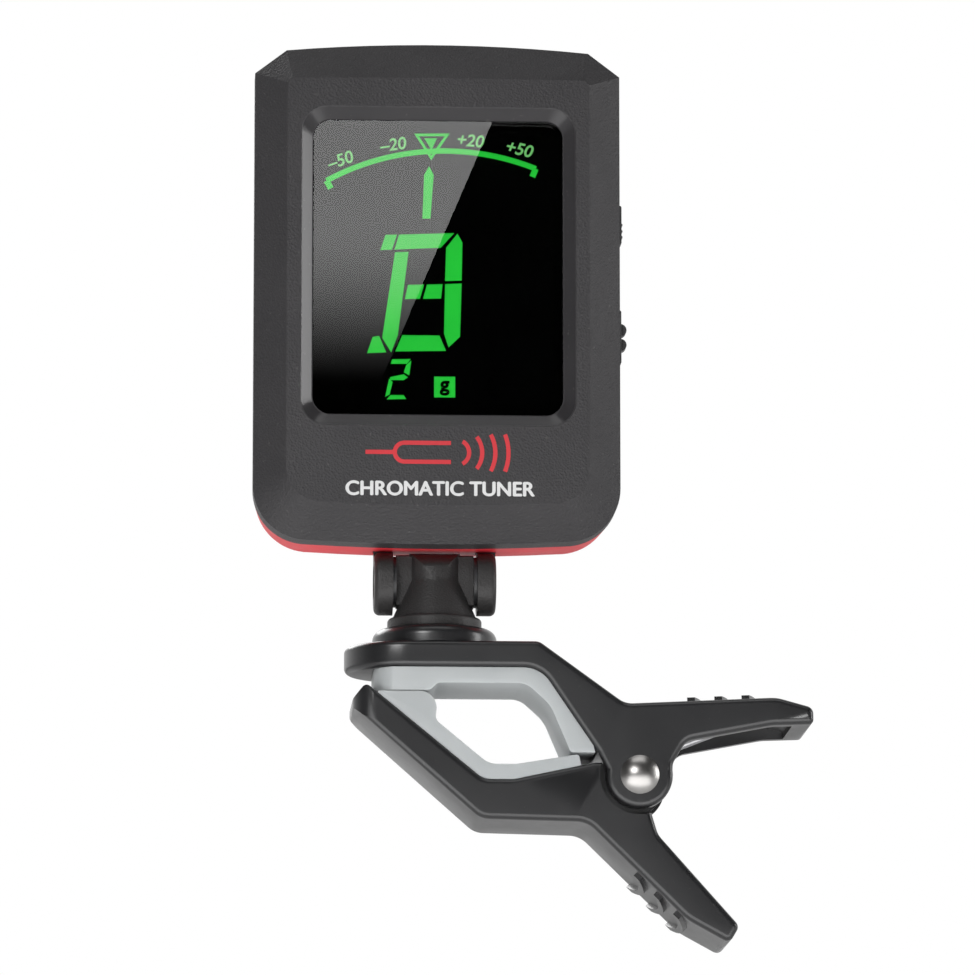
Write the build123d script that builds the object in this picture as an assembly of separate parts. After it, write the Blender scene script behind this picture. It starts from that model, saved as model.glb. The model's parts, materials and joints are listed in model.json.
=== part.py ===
from build123d import *
from math import acos, atan2, cos, degrees, hypot, radians, sin
import os

# Clip-on tuner. Millimetres, +Z up, display looking along -Y, origin in the middle of the
# closed clip's opening. The neck axis is vertical, at x = neckX, y = 0.

# Driving dimensions: neck and head
neckX = -6.6
headHalf = 18.25
headTop = 69.0
headBottom = 18.35
plateauHalf = 15.05
plateauTop = 64.9
plateauBottom = 21.8
faceY = -8.2
bevelY = -5.4
partingY = -2.4
backTaper = 0.35
backY = 3.6
shellWall = 1.3
windowHalf = 12.4
windowTop = 60.8
windowBottom = 31.1
lensFrontY = -7.2
ledgeY = -6.2
backWall = 2.0
tiltZ = 15.35
lugInner = 4.2
lugOuter = 6.07
lugRadius = 2.95
lugLow = 12.0
neckFront = 0.0
neckBack = 1.45
bossSpots = [(-13.6, 24.6), (13.6, 24.6), (-14.6, 65.2), (14.6, 65.2)]
bossRadius = 1.8
screwHeadRadius = 1.45
shellScrewRadius = 0.7
slotHalf = 0.18

# Driving dimensions: battery door on the back
doorHalf = 11.5
doorBottom = 31.0
doorFrontY = 2.45
doorGap = 0.1
railDepth = 0.7
railFront = 2.8
railBack = 3.2

# Driving dimensions: battery, board and display stack
cellRadius = 10.0
cellThick = 3.2
cellZ = 43.0
cellFrontY = -1.2
boardFrontY = -2.6
boardThick = 0.8
boardHalf = 16.2
lcdFrontY = -5.6
lcdThick = 1.6
lcdHalf = 12.8
frameHalf = 13.8
lcdTop = 61.9
lcdBottom = 29.9
lensBackY = -5.75
piezoZ = 27.4
piezoThick = 0.45

# Driving dimensions: side buttons
buttonY = -3.8
buttonDepth = 1.9
powerZ = 50.95
powerLong = 3.9
modeZ = 39.55
modeLong = 5.4

# Driving dimensions: swivel
armTop = 8.65
collarRadius = 6.2
collarTop = 10.45
stemRadius = 2.6
knuckleHalf = 3.85
barrelRadius = 2.7
crownRadius = 2.85
crownHalf = 2.55
flareRadius = 4.25
baseRadius = 4.7
baseBottom = 10.55
baseTop = 11.6
screwRadius = 1.0
screwSeat = 7.45
yokeTop = 22.6
yokeScrewX = (-7.3, 7.3)
yokeScrewZ = 21.3
yokeScrewRadius = 0.6

# Driving dimensions: clip
clipHalf = 6.5
padHalf = 6.2
pivotX = 13.4
pivotZ = -4.6
earRadius = 3.3
recessRadius = 3.95
innerEarRadius = 3.0
innerEarFace = 4.7
springRoom = 3.2
pinRadius = 1.2
pinHeadRadius = 1.92
wireRadius = 0.4
coilRadius = 1.95
coilTurns = 5
edgeRound = 0.6
runFit = 0.05
noseX = -15.6
noseBottom = 6.0
ribHalf = 5.2
ribHigh = 0.45
handleTop = [(12.0, 2.5), (27.0, 3.2)]
handleFoot = [(8.2, -9.3), (18.0, -18.9)]

boardBackY = boardFrontY + boardThick
lcdBackY = lcdFrontY + lcdThick
backInnerY = backY - backWall
plankY = innerEarFace + 0.2

parts = {}


def layer(sketch, yFront, yBack):
    """A sketch drawn with x and z, filled from yFront to yBack."""
    return extrude(Plane.XZ.offset(-yBack) * sketch, amount=yBack - yFront)


def block(x, y, z):
    """A box given by its low and high limits along each axis."""
    size = (x[1] - x[0], y[1] - y[0], z[1] - z[0])
    centre = ((x[1] + x[0]) / 2, (y[1] + y[0]) / 2, (z[1] + z[0]) / 2)
    return Pos(*centre) * Box(*size)


def plate(half, bottom, top, corner):
    """A sketch of a rounded rectangle centred on x = 0."""
    return Pos(0, (top + bottom) / 2) * RectangleRounded(2 * half, top - bottom, corner)


def rodY(x, z, radius, yFront, yBack):
    """A round bar along Y."""
    return layer(Pos(x, z) * Circle(radius), yFront, yBack)


def rodX(y, z, radius, xLow, xHigh):
    """A round bar along X."""
    bar = Rotation(0, 90, 0) * Cylinder(radius, xHigh - xLow)
    return Pos((xLow + xHigh) / 2, y, z) * bar


def rodZ(x, y, radius, zLow, zHigh):
    """A round bar along Z."""
    return Pos(x, y, (zLow + zHigh) / 2) * Cylinder(radius, zHigh - zLow)


def tube(points, radius):
    """A round wire along a smooth route."""
    route = Spline(*points)
    return sweep(Plane(route @ 0, z_dir=route % 0) * Circle(radius), path=route)


def group(shapes):
    """Separate solids that share one node."""
    return Part() + shapes


def keep(name, shape):
    """Store a sub-part under its node name."""
    parts[name] = shape


def keepHead(name, shape):
    """Store a sub-part drawn about the neck axis."""
    parts[name] = Pos(neckX, 0, 0) * shape


# ---- Head shells


def headOutline(inset=0.0, narrow=0.0):
    """Head silhouette: arched top, cut top corners, round bottom corners, arched bottom."""
    half = headHalf - inset - narrow
    shoulder = (15.1 - inset * 0.6 - narrow, headTop - 0.7 - inset)
    cheek = (half, headTop - 3.1 - inset * 0.6)
    foot = headBottom + 0.35 + inset
    corner = 5.4 - inset
    sole = half - corner
    with BuildSketch() as sketch:
        with BuildLine():
            ThreePointArc((-shoulder[0], shoulder[1]), (0, headTop - inset), shoulder)
            Line(shoulder, cheek)
            Line(cheek, (half, foot + corner))
            RadiusArc((half, foot + corner), (sole, foot), corner)
            ThreePointArc((sole, foot), (0, headBottom + inset), (-sole, foot))
            RadiusArc((-sole, foot), (-half, foot + corner), corner)
            Line((-half, foot + corner), (-half, cheek[1]))
            Line((-half, cheek[1]), (-shoulder[0], shoulder[1]))
        make_face()
    return sketch.sketch


def plateauOutline():
    """Edge of the raised front face, with as many edges as the head silhouette."""
    corner = 3.5
    nick = 0.5
    foot = plateauBottom + 0.3
    sole = plateauHalf - corner
    crown = plateauHalf - nick
    with BuildSketch() as sketch:
        with BuildLine():
            ThreePointArc((-crown, plateauTop), (0, plateauTop + 0.1), (crown, plateauTop))
            Line((crown, plateauTop), (plateauHalf, plateauTop - nick))
            Line((plateauHalf, plateauTop - nick), (plateauHalf, foot + corner))
            RadiusArc((plateauHalf, foot + corner), (sole, foot), corner)
            ThreePointArc((sole, foot), (0, plateauBottom), (-sole, foot))
            RadiusArc((-sole, foot), (-plateauHalf, foot + corner), corner)
            Line((-plateauHalf, foot + corner), (-plateauHalf, plateauTop - nick))
            Line((-plateauHalf, plateauTop - nick), (-crown, plateauTop))
        make_face()
    return sketch.sketch


def lugSlots(grow):
    """Room for the two lugs through the bottom of the shells."""
    slots = Part()
    for side in (-1, 1):
        low = side * (lugInner + lugOuter) / 2 - (lugOuter - lugInner) / 2 - grow
        high = low + lugOuter - lugInner + 2 * grow
        slots += block((low, high), (neckFront - grow, neckBack + grow), (17, 21))
    return slots


def windowPlate(grow, corner):
    """A sketch of the window's outline, larger all round by grow."""
    return plate(windowHalf + grow, windowBottom - grow, windowTop + grow, corner)


def frontShell():
    """Charcoal front shell with the sunk window and its sloped surround."""
    shell = layer(headOutline(), bevelY, partingY)
    rim = Plane.XZ.offset(-bevelY) * headOutline()
    top = Plane.XZ.offset(-faceY) * plateauOutline()
    shell += loft([rim, top], ruled=True)
    slopeOuter = Plane.XZ.offset(-faceY) * windowPlate(1.3, 2.6)
    slopeInner = Plane.XZ.offset(-lensFrontY) * windowPlate(0.15, 1.9)
    shell -= loft([slopeOuter, slopeInner])
    shell -= layer(windowPlate(0.05, 1.8), faceY, ledgeY + 1)
    shell -= layer(plate(14.0, 23.2, 63.4, 0.8), ledgeY, bevelY + 0.4)
    shell -= layer(headOutline(shellWall), bevelY + 0.4, partingY)
    for x, z in bossSpots:
        boss = rodY(x, z, bossRadius, bevelY, boardFrontY)
        shell += boss - rodY(x, z, shellScrewRadius, bevelY + 0.6, boardFrontY)
    for z, long in ((powerZ, powerLong), (modeZ, modeLong)):
        hole = (z - long / 2 - runFit, z + long / 2 + runFit)
        half = buttonDepth / 2 + runFit
        shell -= block((16, 19), (buttonY - half, buttonY + half), hole)
    return shell


def backSlab():
    """The rear shell's outside: sides that taper a little, back edge rounded in two facets."""
    steps = [(backY - 1.0, 0.0), (backY - 0.3, 0.3), (backY, 1.0)]
    sections = [Plane.XZ.offset(-partingY) * headOutline()]
    for y, inset in steps:
        sections.append(Plane.XZ.offset(-y) * headOutline(inset, backTaper))
    slab = Part()
    for low, high in zip(sections, sections[1:]):
        slab += loft([low, high], ruled=True)
    return slab


def rearShell():
    """Red rear shell: back wall, cell well, door recess with side grooves, screw bosses."""
    shell = backSlab()
    shell -= layer(headOutline(shellWall), partingY, backInnerY)
    shell += rodY(0, cellZ, cellRadius + 1.0, boardBackY + 0.1, backInnerY + 0.1)
    shell -= rodY(0, cellZ, cellRadius + 0.25, partingY, backY)
    shell -= block((cellRadius - 1, cellRadius + 2), (partingY, backInnerY), (cellZ - 1.6, cellZ + 1.6))
    recess = (-doorHalf - doorGap, doorHalf + doorGap)
    shell -= block(recess, (doorFrontY - 0.05, backY + 1), (doorBottom - doorGap, headTop + 1))
    groove = (recess[0] - railDepth, recess[1] + railDepth)
    shell -= block(groove, (railFront - 0.08, railBack + 0.08), (doorBottom + 2.9, headTop + 1))
    for x, z in bossSpots:
        shell += rodY(x, z, bossRadius, boardBackY, backInnerY + 0.1)
        shell -= rodY(x, z, shellScrewRadius + 0.1, partingY, backY)
        shell -= rodY(x, z, screwHeadRadius + 0.1, backY - 1.3, backY + 1)
    for x in yokeScrewX:
        shell -= rodY(x, yokeScrewZ, yokeScrewRadius, partingY, backInnerY + 0.9)
    return shell - lugSlots(0.08)


def batteryDoor():
    """Sliding back door that runs off over the top edge, with a thumb dish and ribs."""
    door = backSlab() & block((-doorHalf, doorHalf), (doorFrontY, 9), (doorBottom, 80))
    railHalf = doorHalf + railDepth
    door += block((-railHalf, railHalf), (railFront, railBack), (doorBottom + 3, headTop - 2))
    for step in range(4):
        door -= rodX(backY + 0.25, 60.0 - 1.6 * step, 0.45, -5, 5)
    return door


def shellScrews():
    """Four self-tapping screws that hold the two shells together, put in from the back."""
    screws = []
    for x, z in bossSpots:
        screw = rodY(x, z, shellScrewRadius, bevelY + 1.2, backY - 1.2)
        screw += rodY(x, z, screwHeadRadius, backY - 1.3, backY - 0.45)
        screw -= block((x - 1.0, x + 1.0), (backY - 0.8, backY), (z - slotHalf, z + slotHalf))
        screw -= block((x - slotHalf, x + slotHalf), (backY - 0.8, backY), (z - 1.0, z + 1.0))
        screws.append(screw)
    return group(screws)


# ---- Display stack and electronics


def windowLens():
    """Clear window: the part seen in the sunk opening and a thin flange behind the wall."""
    lens = layer(windowPlate(0.0, 1.75), lensFrontY, ledgeY)
    return lens + layer(windowPlate(0.9, 1.9), ledgeY, lensBackY)


def lcdPanel():
    """Liquid crystal cell: two glass plates, the front one a little shorter."""
    middle = lcdFrontY + lcdThick / 2
    panel = layer(plate(lcdHalf, lcdBottom, lcdTop - 1.6, 0.3), lcdFrontY, middle)
    return panel + layer(plate(lcdHalf, lcdBottom, lcdTop, 0.3), middle, lcdBackY)


def lcdFrame():
    """White moulded frame around the display cell, with four pegs to the board."""
    outer = plate(frameHalf, lcdBottom - 1.0, lcdTop + 1.0, 0.6)
    inner = plate(lcdHalf + 0.05, lcdBottom - 0.05, lcdTop + 0.05, 0.3)
    return layer(outer - inner, lcdFrontY, boardFrontY)


def lightGuide():
    """Clear light guide behind the display cell, open at the foot for the lamps."""
    return layer(plate(lcdHalf, lcdBottom + 1.7, lcdTop - 2.0, 0.3), lcdBackY, boardFrontY - 0.3)


def backlightLeds():
    """Three small lamps that shine up into the light guide."""
    lamps = []
    for x in (-8.0, 0.0, 8.0):
        lamp = block((x - 1.5, x + 1.5), (lcdBackY + 0.2, boardFrontY), (lcdBottom + 0.3, lcdBottom + 1.5))
        lamps.append(lamp)
    return group(lamps)


def zebraStrip():
    """Rubber connector between the display cell and the board."""
    return block((-11, 11), (lcdBackY, boardFrontY), (lcdTop - 1.8, lcdTop - 0.3))


def circuitBoard():
    """Board with screw holes, chamfered top corners and room for the hinge yoke."""
    board = layer(headOutline(headHalf - boardHalf), boardFrontY, boardBackY)
    for x, z in bossSpots:
        board -= rodY(x, z, shellScrewRadius + 0.1, boardFrontY, boardBackY)
    return board - block((-9.4, 9.4), (boardFrontY - 1, boardBackY + 1), (17, yokeTop + 0.3))


def mainChip():
    """Flat square chip with legs along two sides."""
    centre = (-4.5, 59.2)
    y = (boardBackY + 0.1, boardBackY + 1.2)
    chip = block((centre[0] - 3.5, centre[0] + 3.5), y, (centre[1] - 3.5, centre[1] + 3.5))
    for step in range(8):
        z = centre[1] - 2.8 + 0.8 * step
        chip += block((-8.9, -0.1), (boardBackY, boardBackY + 0.25), (z - 0.18, z + 0.18))
    return chip


def crystalCan():
    """Oval crystal can lying on the board."""
    can = Pos(5.0, 59.0) * SlotOverall(7.0, 2.6)
    return layer(can, boardBackY, boardBackY + 1.6)


def piezoSensor():
    """Brass disc with a smaller ceramic disc on it, glued to the back wall."""
    disc = rodY(0, piezoZ, 4.2, backInnerY - piezoThick / 2, backInnerY)
    return disc + rodY(0, piezoZ, 3.2, backInnerY - piezoThick, backInnerY - piezoThick / 2)


def piezoLeads():
    """Two thin wires from the disc to the board."""
    leads = []
    faceOfDisc = backInnerY - piezoThick
    for side in (-1, 1):
        start = (side * 1.2, faceOfDisc - 0.2, piezoZ - 1.0)
        middle = (side * 2.6, 0.2, piezoZ + 0.6)
        end = (side * 3.6, boardBackY + 0.2, piezoZ - 1.4)
        leads.append(tube([start, middle, end], 0.2))
    return group(leads)


def tactSwitch(z):
    """Side-acting switch on the front of the board."""
    body = block((frameHalf + 0.1, 15.5), (-4.7, boardFrontY), (z - 1.7, z + 1.7))
    return body + block((15.5, 15.95), (buttonY - 0.5, buttonY + 0.5), (z - 0.8, z + 0.8))


def sideButton(z, long, crown, humps):
    """Push button: inner flange, stem through the wall and grip ridges on its face."""
    inner = headHalf - shellWall
    half = buttonDepth / 2
    flange = block((inner - 0.65, inner - 0.05), (buttonY - half - 0.2, buttonY + half + 0.2),
                   (z - long / 2 - 0.3, z + long / 2 + 0.3))
    stem = block((inner - 0.1, headHalf + crown), (buttonY - half, buttonY + half),
                 (z - long / 2, z + long / 2))
    stem = fillet(stem.faces().sort_by(Axis.X)[-1].edges(), 0.2)
    button = flange + stem
    for offset, radius in humps:
        hump = rodY(headHalf + crown - 0.1, z + offset, radius, buttonY - half + 0.3, buttonY + half - 0.3)
        button += hump - block((0, headHalf), (-9, 9), (0, 99))
    return button


def coinCell():
    """Coin cell: a wide cup and a smaller cap on the board side."""
    capThick = 0.5
    cup = rodY(0, cellZ, cellRadius, cellFrontY + capThick, cellFrontY + cellThick)
    cup = fillet(cup.edges().filter_by_position(Axis.Y, 1.9, 2.1), 0.4)
    return cup + rodY(0, cellZ, cellRadius - 1.2, cellFrontY, cellFrontY + capThick)


def contactNegative():
    """Thin leaf under the cell: a soldered bar and two bowed fingers."""
    leaf = block((-3.0, 3.0), (boardBackY, boardBackY + 0.2), (cellZ - 1.0, cellZ + 1.0))
    for x in (-1.5, 1.5):
        width = (x - 0.7, x + 0.7)
        leaf += block(width, (cellFrontY - 0.2, cellFrontY), (cellZ - 5, cellZ - 1.2))
        leaf += block(width, (boardBackY, cellFrontY), (cellZ - 1.2, cellZ - 1.0))
    return leaf


def contactPositive():
    """Upright clip that bears on the rim of the cell."""
    return block((cellRadius, cellRadius + 0.2), (boardBackY, 1.2), (cellZ - 1.2, cellZ + 1.2))


# ---- Hinge yoke and neck


def lug(side):
    """One flat cheek of the hinge, its top round about the tilt axis, on a flat neck."""
    low = min(side * lugInner, side * lugOuter)
    high = max(side * lugInner, side * lugOuter)
    long = tiltZ + lugRadius - lugLow
    sideView = Pos(0, lugLow + long / 2) * SlotOverall(long, 2 * lugRadius, rotation=90)
    cheek = extrude(Plane.YZ.offset(low) * sideView, amount=high - low)
    cheek = fillet(cheek.faces().sort_by(Axis.X)[0 if side < 0 else -1].edges(), 0.6)
    return cheek + block((low, high), (neckFront, neckBack), (tiltZ, 20.6))


def hingeYoke():
    """Yoke inside the head: a crossbar with two cheeks that stand out below."""
    yoke = block((-8.8, 8.8), (partingY + 0.3, backInnerY - 0.1), (20.1, yokeTop))
    yoke += lug(-1) + lug(1)
    yoke -= rodX(0, tiltZ, screwRadius, -9, 9)
    yoke -= rodX(0, tiltZ, 1.75, -lugOuter - 1, -lugOuter + 0.9)
    yoke -= nutShape(0.0, lugOuter - 0.9, lugOuter + 1)
    for x in yokeScrewX:
        yoke -= rodY(x, yokeScrewZ, yokeScrewRadius, -5, 5)
    return yoke


def nutShape(grow, xLow, xHigh):
    """Hexagon prism about the tilt axis."""
    hexagon = Plane.YZ.offset(xLow) * Pos(0, tiltZ) * RegularPolygon(1.85 + grow, 6)
    return extrude(hexagon, amount=xHigh - xLow)


def yokeScrews():
    """Two screws that hold the yoke to the back shell."""
    screws = []
    for x in yokeScrewX:
        screw = rodY(x, yokeScrewZ, yokeScrewRadius, partingY + 0.3, backInnerY + 0.9)
        screw += rodY(x, yokeScrewZ, 1.15, partingY - 0.5, partingY + 0.3)
        slot = (yokeScrewZ - 0.15, yokeScrewZ + 0.15)
        screw -= block((x - 0.9, x + 0.9), (partingY - 0.5, partingY - 0.2), slot)
        screws.append(screw)
    return group(screws)


def tiltScrew():
    """Screw along the tilt axis."""
    screw = rodX(0, tiltZ, screwRadius, -lugOuter + 0.9, lugOuter - 0.1)
    screw += rodX(0, tiltZ, 1.7, -lugOuter + 0.1, -lugOuter + 0.9)
    return screw - block((-lugOuter, -lugOuter + 0.5), (-1.4, 1.4), (tiltZ - 0.2, tiltZ + 0.2))


def tiltNut():
    """Hexagon nut on the end of the tilt screw."""
    return nutShape(-0.03, lugOuter - 0.9, lugOuter - 0.15) - rodX(0, tiltZ, screwRadius, 4, 7)


def frictionWashers():
    """Two thin washers between knuckle and cheeks."""
    washers = []
    for side in (-1, 1):
        low = min(side * (knuckleHalf + 0.02), side * (lugInner - 0.02))
        high = max(side * (knuckleHalf + 0.02), side * (lugInner - 0.02))
        washers.append(rodX(0, tiltZ, 2.55, low, high) - rodX(0, tiltZ, screwRadius + runFit, -9, 9))
    return group(washers)


def neckKnuckle():
    """Knuckle: an oval column on a flared foot, a barrel beside it, a round base and a stem."""
    knuckle = rodX(0, tiltZ, barrelRadius, -knuckleHalf, knuckleHalf)
    knuckle -= block((-9, 9), (-9, -1.2), (0, 30))
    section = Ellipse(crownHalf, crownRadius)
    column = extrude(Plane.XY.offset(tiltZ) * section, amount=4)
    knuckle += column & rodX(0, tiltZ, crownRadius, -crownHalf - 1, crownHalf + 1)
    foot = Plane.XY.offset(baseTop - 0.1) * Ellipse(flareRadius, flareRadius - 0.01)
    flare = loft([foot, Plane.XY.offset(tiltZ) * section])
    knuckle += flare & block((-9, 9), (-9, crownHalf), (0, 30))
    base = rodZ(0, 0, baseRadius, baseBottom, baseTop)
    knuckle += fillet(base.edges().group_by(Axis.Z)[-1], 0.35)
    knuckle += rodZ(0, 0, stemRadius, armTop + 0.1, baseBottom)
    knuckle -= rodX(0, tiltZ, screwRadius + runFit, -9, 9)
    return knuckle - rodZ(0, 0, screwRadius, 0, 13.4)


def swivelCollar():
    """Round collar fixed on the arm, top edge well rounded."""
    collar = rodZ(0, 0, collarRadius, armTop, collarTop)
    collar = fillet(collar.edges().group_by(Axis.Z)[-1], 1.1)
    return collar - rodZ(0, 0, stemRadius + runFit, 0, 20)


def swivelScrew():
    """Screw from under the arm into the knuckle."""
    screw = rodZ(0, 0, screwRadius, screwSeat, 13.2)
    screw += rodZ(0, 0, 1.9, 6.35, screwSeat - 0.3)
    screw += rodZ(0, 0, screwRadius, screwSeat - 0.3, screwSeat)
    return screw - block((-1.6, 1.6), (-0.2, 0.2), (6.3, 6.8))


def swivelWasher():
    """Washer under the arm that the screw head runs on."""
    return rodZ(0, 0, 2.4, screwSeat - 0.28, screwSeat) - rodZ(0, 0, screwRadius + runFit, 0, 20)


# ---- Clip


def outline(points, radii):
    """Closed outline with a corner radius for each point."""
    with BuildSketch() as sketch:
        with BuildLine():
            FilletPolyline(*points, radius=radii, close=True)
        make_face()
    return sketch.sketch


def softSides(sketch, half, amount):
    """A slab about y = 0 with both side edges rounded."""
    slab = layer(sketch, -half, half)
    sideEdges = slab.edges().filter_by_position(Axis.Y, half - 0.01, half + 0.01)
    sideEdges += slab.edges().filter_by_position(Axis.Y, -half - 0.01, -half + 0.01)
    return fillet(sideEdges, amount)


def upperProfile():
    """Upper arm seen from the side, behind its nose: flat top, slope and finger handle."""
    points = [(noseX, noseBottom), (noseX, armTop), (3.5, armTop), *handleTop, (30.65, 2.2),
              (30.65, 0.55), (26.5, 0.4), (18.0, -1.2), (16.7, -3.4), (16.5, -7.6), (10.3, -7.6),
              (10.2, -4.2), (9.3, -2.4), (6.5, 1.7), (3.6, noseBottom)]
    radii = [0, 0, 1.3, 2.2, 4.0, 0.8, 0.5, 6.0, 1.6, 1.2, 3.0, 3.0, 1.0, 1.0, 4.0, 3.2]
    return outline(points, radii)


def gripRibs(face, half, height, bulge, places):
    """Curved ribs on a handle's outer face; face is a plane with x along the handle."""
    ribs = Part()
    for place in places:
        radius = (half ** 2 + bulge ** 2) / (2 * bulge)
        centre = place + bulge - radius
        ring = Pos(centre, 0) * (Circle(abs(radius) + 0.35) - Circle(abs(radius) - 0.35))
        band = ring & (Pos(place, 0) * Rectangle(5, 2 * half))
        ribs += extrude(face * band, amount=height, both=True)
    return ribs


def facePlane(start, end):
    """Plane through two points of a side outline, x along the line, z out of its left side."""
    along = Vector(end[0] - start[0], 0, end[1] - start[1]).normalized()
    return Plane(origin=(start[0], 0, start[1]), x_dir=along, z_dir=Vector(0, -1, 0).cross(along))


def roundNose(body, x, radius):
    """Round the two corners of a jaw's front end, as seen from above."""
    for side in (-1, 1):
        corner = block((x - 2, x + radius), (clipHalf - radius, clipHalf + 2), (-9, 20))
        corner -= rodZ(x + radius, clipHalf - radius, radius, -9, 20)
        body -= corner if side > 0 else mirror(corner, Plane.XZ)
    return body


def upperNose():
    """Half-round front end of the upper arm, its rim rounded like the arm's side edges."""
    rear = noseX + clipHalf
    section = Pos(rear - clipHalf / 2, (armTop + noseBottom) / 2) * Rectangle(clipHalf, armTop - noseBottom)
    section = Plane.XZ * fillet(section.vertices().group_by(Axis.X)[0], edgeRound)
    quarter = revolve(section, Axis((rear, 0, 0), (0, 0, 1)), 90)
    return quarter + mirror(quarter, Plane.XZ)


def upperArm():
    """Upper arm: solid jaw, side ears about the pivot and a handle open below."""
    below = Pos(pivotX, pivotZ - 10) * Rectangle(18, 20)
    ear = Pos(pivotX, pivotZ) * Circle(earRadius)
    arm = softSides(upperProfile() - below, clipHalf, edgeRound)
    arm += softSides(ear, clipHalf, edgeRound)
    arm = arm & block((noseX + clipHalf, 40), (-9, 9), (-20, 20))
    arm += upperNose()
    arm -= rodY(pivotX, pivotZ, recessRadius, -plankY, plankY)
    channel = [(14.0, -9), (14.0, 0.9), (27.0, 1.6), (28.6, 1.2), (28.6, -9)]
    arm -= layer(outline(channel, [0.4, 0.8, 0.5, 0.5, 0.4]), -plankY, plankY)
    arm -= rodY(pivotX, pivotZ, pinRadius, -9, 9)
    arm += gripRibs(facePlane(handleTop[0], handleTop[1]), ribHalf, ribHigh, 1.1, (6.6, 9.3, 12.0))
    arm -= Pos(neckX, 0, 0) * rodZ(0, 0, screwRadius + runFit, 0, 20)
    return arm - Pos(neckX, 0, 0) * rodZ(0, 0, 2.5, 0, screwSeat)


def lowerProfile():
    """Lower arm seen from the side: slanted jaw, root about the pivot and finger handle."""
    points = [(-13.6, 4.4), (-14.9, 2.9), (-14.9, 2.1), (-2.3, -9.05), *handleFoot,
              (22.2, -21.2), (23.2, -19.5), (15.2, -10.5), (14.6, -8.5), (14.6, -3.4), (9.0, -3.4),
              (1.0, -5.1), (-2.0, -5.1)]
    radii = [0.5, 0.5, 0.5, 2.4, 2.6, 6.0, 0.7, 0.7, 2.2, 0.4, 0.4, 0.2, 1.0, 2.0]
    return outline(points, radii)


def lowerArm():
    """Lower arm: solid jaw, hollow handle, outer walls stepped around the upper ears."""
    profile = lowerProfile()
    arm = softSides(profile, clipHalf, edgeRound)
    arm -= rodY(pivotX, pivotZ, recessRadius, -9, 9)
    hollow = outline([(9.0, -7.6), (18.6, -17.2), (20.6, -18.4), (26, -14), (22, -4), (8.0, -4)],
                     [0.6, 3.0, 0.6, 0.5, 0.5, 0.5])
    arm -= layer(hollow, -plankY, plankY)
    web = (Pos(pivotX, pivotZ) * Circle(recessRadius + 2.0)) & profile
    ears = web + Pos(pivotX, pivotZ) * Circle(innerEarRadius)
    joint = web - Pos(pivotX, pivotZ) * Circle(recessRadius)
    for side in (-1, 1):
        faces = sorted((side * springRoom, side * innerEarFace))
        arm += layer(ears, *faces)
        faces = sorted((side * springRoom, side * (plankY + 0.1)))
        arm += layer(joint, *faces)
    arm -= rodY(pivotX, pivotZ, pinRadius + runFit, -9, 9)
    arm += gripRibs(facePlane(handleFoot[1], handleFoot[0]), ribHalf, ribHigh, -1.1, (1.0, 3.7, 6.4))
    return roundNose(arm, -14.9, 2.5)


def upperPad():
    """Soft liner of the upper jaw: a thick front block and a thinner curved sheet."""
    points = [(-12.75, 6.6), (-12.75, 3.7), (-7.3, 3.7), (-6.5, 4.45), (2.2, 4.45), (4.6, 2.3),
              (6.6, -2.4), (9.0, -2.4), (8.0, 2.0), (4.0, 6.6)]
    radii = [0, 0.5, 0.6, 0.6, 2.2, 4.0, 0.5, 0, 0, 0]
    pad = roundNose(layer(outline(points, radii), -padHalf, padHalf), -12.75, 3.2)
    return pad - layer(upperProfile(), -9, 9)


def lowerPad():
    """Soft liner of the lower jaw with a raised nose."""
    points = [(-12.5, 2.6), (-12.5, 3.6), (-6.45, 3.6), (-6.75, 0.75), (-1.5, -3.6),
              (1.2, -3.6), (7.4, -2.6), (7.8, -4.6), (1.0, -6.2), (-2.6, -6.2)]
    radii = [0, 0.3, 1.7, 0.8, 2.2, 1.2, 0.3, 0, 0, 0]
    pad = layer(outline(points, radii), -padHalf, padHalf)
    return pad - layer(lowerProfile(), -9, 9)


def pivotPin():
    """Rivet through both arms with a domed head at each end."""
    pin = rodY(pivotX, pivotZ, pinRadius, -clipHalf, clipHalf)
    headHigh = 0.85
    sphere = (pinHeadRadius ** 2 + headHigh ** 2) / (2 * headHigh)
    for side in (-1, 1):
        ball = Pos(pivotX, side * (clipHalf + headHigh - sphere), pivotZ) * Sphere(sphere)
        yLow = min(side * clipHalf, side * (clipHalf + 2))
        pin += ball & block((pivotX - 3, pivotX + 3), (yLow, yLow + 2), (pivotZ - 3, pivotZ + 3))
    return pin


def tangentAngle(target, side):
    """Angle about the pivot at which a straight leg to the target leaves the coil."""
    away = (target[0] - pivotX, target[1] - pivotZ)
    return degrees(atan2(away[1], away[0])) + side * degrees(acos(coilRadius / hypot(*away)))


def torsionSpring():
    """Steel spring about the pin: a coil and one straight leg along each handle."""
    upperEnd = (22.0, 0.86)
    lowerEnd = (17.8, -15.8)
    begin = tangentAngle(upperEnd, 1)
    finish = tangentAngle(lowerEnd, -1) + 360 * coilTurns
    turns = (finish - begin) / 360
    pitch = 2 * wireRadius + 0.06
    length = turns * pitch
    origin = (pivotX, length / 2, pivotZ)
    direction = (cos(radians(begin)), 0, sin(radians(begin)))
    coil = Plane(origin=origin, x_dir=direction, z_dir=(0, -1, 0)) * Helix(pitch, length, coilRadius)
    upperLeg = Line((upperEnd[0], length / 2, upperEnd[1]), coil @ 0)
    lowerLeg = Line(coil @ 1, (lowerEnd[0], -length / 2, lowerEnd[1]))
    route = Wire([upperLeg, *coil.edges(), lowerLeg])
    return sweep(Plane(route @ 0, z_dir=route % 0) * Circle(wireRadius), path=route)


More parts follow.
